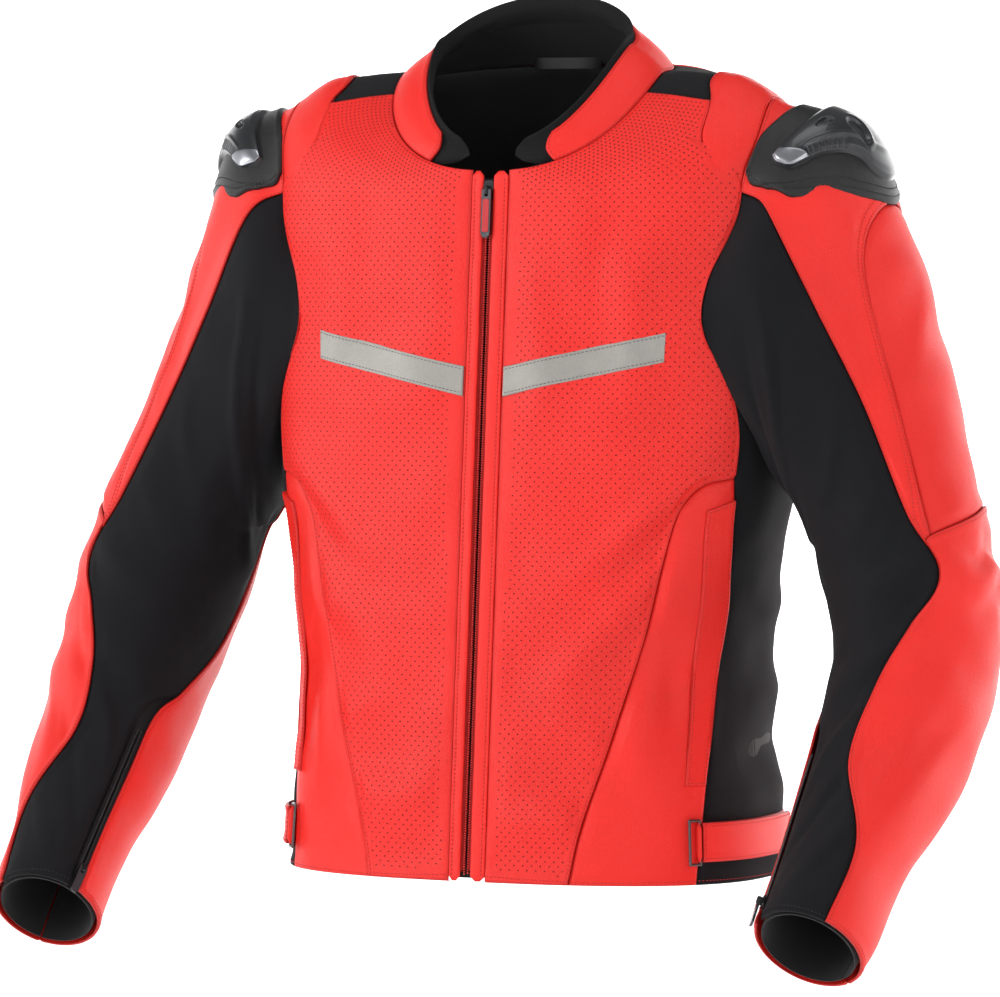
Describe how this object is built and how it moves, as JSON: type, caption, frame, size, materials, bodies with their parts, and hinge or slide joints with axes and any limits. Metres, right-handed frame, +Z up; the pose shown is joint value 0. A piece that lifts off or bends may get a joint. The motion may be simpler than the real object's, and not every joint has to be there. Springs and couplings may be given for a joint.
{
  "type": "leather riding jacket",
  "caption": "Leather motorcycle riding jacket with stand-up collar, front zip, stretch panels, shoulder armour and adjustable waist, hung by its neck loop.",
  "frame": {"origin": "the hang loop, on the centre line at the inside of the back of the neck", "axes": "+X towards the wearer's left, -Y to the front, +Z up along the body"},
  "size_m": [0.8162, 0.4001, 0.7648],
  "materials": {
    "red_leather": "smooth cowhide, satin",
    "red_perforated": "perforated cowhide, satin",
    "black_stretch": "matt woven stretch fabric",
    "black_leather": "smooth, satin",
    "neoprene": "matt padded knit",
    "lining_mesh": "matt knitted mesh",
    "reflective": "grey glass-bead reflective",
    "zip_red": "woven tape and nylon coil",
    "zip_black": "woven tape and nylon coil",
    "zip_metal": "gloss black lacquer",
    "grip_rubber": "ribbed soft rubber",
    "armour_shell": "hard glossy shell",
    "pad_foam": "moulded foam",
    "ring_steel": "brushed wire"
  },
  "bodies": {
    "root": {"front_panel_left": "red_perforated", "front_panel_right": "red_perforated", "lower_front_panel_left": "red_leather", "lower_front_panel_right": "red_leather", "side_stretch_panel_left": "black_stretch", "side_stretch_panel_right": "black_stretch", "shoulder_stretch_inserts": "black_stretch", "shoulder_panel_left": "red_leather", "shoulder_panel_right": "red_leather", "back_yoke": "red_leather", "back_panel": "red_perforated", "lumbar_stretch_panel": "black_leather", "lower_back_panel": "red_leather", "collar_shell": "red_leather", "collar_lining": "neoprene", "front_placket_left": "red_leather", "front_placket_right": "red_leather", "front_zip_half_left": "zip_red", "front_zip_half_right": "zip_red", "wind_flap": "black_stretch", "reflective_bands": "reflective", "pocket_flap_left": "red_leather", "pocket_flap_right": "red_leather", "pocket_bags": "lining_mesh", "waist_strap_left": "red_leather", "waist_strap_right": "red_leather", "waist_rings": "ring_steel", "sleeve_upper_panel_left": "red_leather", "sleeve_upper_panel_right": "red_leather", "sleeve_elbow_panel_left": "red_perforated", "sleeve_elbow_panel_right": "red_perforated", "sleeve_forearm_panel_left": "red_leather", "sleeve_forearm_panel_right": "red_leather", "sleeve_stretch_panel_left": "black_stretch", "sleeve_stretch_panel_right": "black_stretch", "sleeve_under_panel_left": "red_leather", "sleeve_under_panel_right": "red_leather", "sleeve_lining_left": "lining_mesh", "sleeve_lining_right": "lining_mesh", "shoulder_armour_base_left": "black_leather", "shoulder_armour_base_right": "black_leather", "shoulder_shell_left": "armour_shell", "shoulder_shell_right": "armour_shell", "cuff_zip_halves_left": "zip_black", "cuff_zip_halves_right": "zip_black", "torso_lining": "lining_mesh", "hang_loop": "black_leather", "shoulder_protectors": "pad_foam", "elbow_protectors": "pad_foam", "back_protector": "pad_foam", "trouser_zip": "zip_black"},
    "front_slider": {"front_zip_slider": "zip_metal"},
    "front_puller": {"front_zip_puller": "zip_metal", "front_zip_puller_grip": "grip_rubber"},
    "cuff_slider_left": {"cuff_zip_slider_left": "zip_metal"},
    "cuff_puller_left": {"cuff_zip_puller_left": "zip_metal"},
    "waist_tab_left": {"waist_tab_left": "red_leather"},
    "cuff_slider_right": {"cuff_zip_slider_right": "zip_metal"},
    "cuff_puller_right": {"cuff_zip_puller_right": "zip_metal"},
    "waist_tab_right": {"waist_tab_right": "red_leather"}
  },
  "joints": [
    {"name": "front_zip", "type": "slide", "parent": "root", "child": "front_slider", "axis": [0, -0.0813, -0.9967], "range_m": [0, 0.5249]},
    {"name": "front_puller_swing", "type": "hinge", "parent": "front_slider", "child": "front_puller", "pos_m": [0, -0.15584, -0.10774], "axis": [-1, 0, 0], "range_deg": [0, 150]},
    {"name": "cuff_zip_left", "type": "slide", "parent": "root", "child": "cuff_slider_left", "axis": [-0.015, 0.6768, 0.736], "range_m": [0, 0.137]},
    {"name": "cuff_puller_swing_left", "type": "hinge", "parent": "cuff_slider_left", "child": "cuff_puller_left", "pos_m": [0.29325, -0.29024, -0.64921], "axis": [-0.587, 0.5899, -0.5544], "range_deg": [0, 150]},
    {"name": "waist_tab_left_peel", "type": "hinge", "parent": "root", "child": "waist_tab_left", "pos_m": [0.18327, -0.14659, -0.62202], "axis": [0.0486, -0.0473, -0.9977], "range_deg": [0, 55]},
    {"name": "cuff_zip_right", "type": "slide", "parent": "root", "child": "cuff_slider_right", "axis": [0.015, 0.6768, 0.736], "range_m": [0, 0.137]},
    {"name": "cuff_puller_swing_right", "type": "hinge", "parent": "cuff_slider_right", "child": "cuff_puller_right", "pos_m": [-0.29325, -0.29024, -0.64921], "axis": [-0.587, -0.5899, 0.5544], "range_deg": [0, 150]},
    {"name": "waist_tab_right_peel", "type": "hinge", "parent": "root", "child": "waist_tab_right", "pos_m": [-0.18327, -0.14659, -0.62202], "axis": [0.0486, 0.0473, 0.9977], "range_deg": [0, 55]}
  ]
}
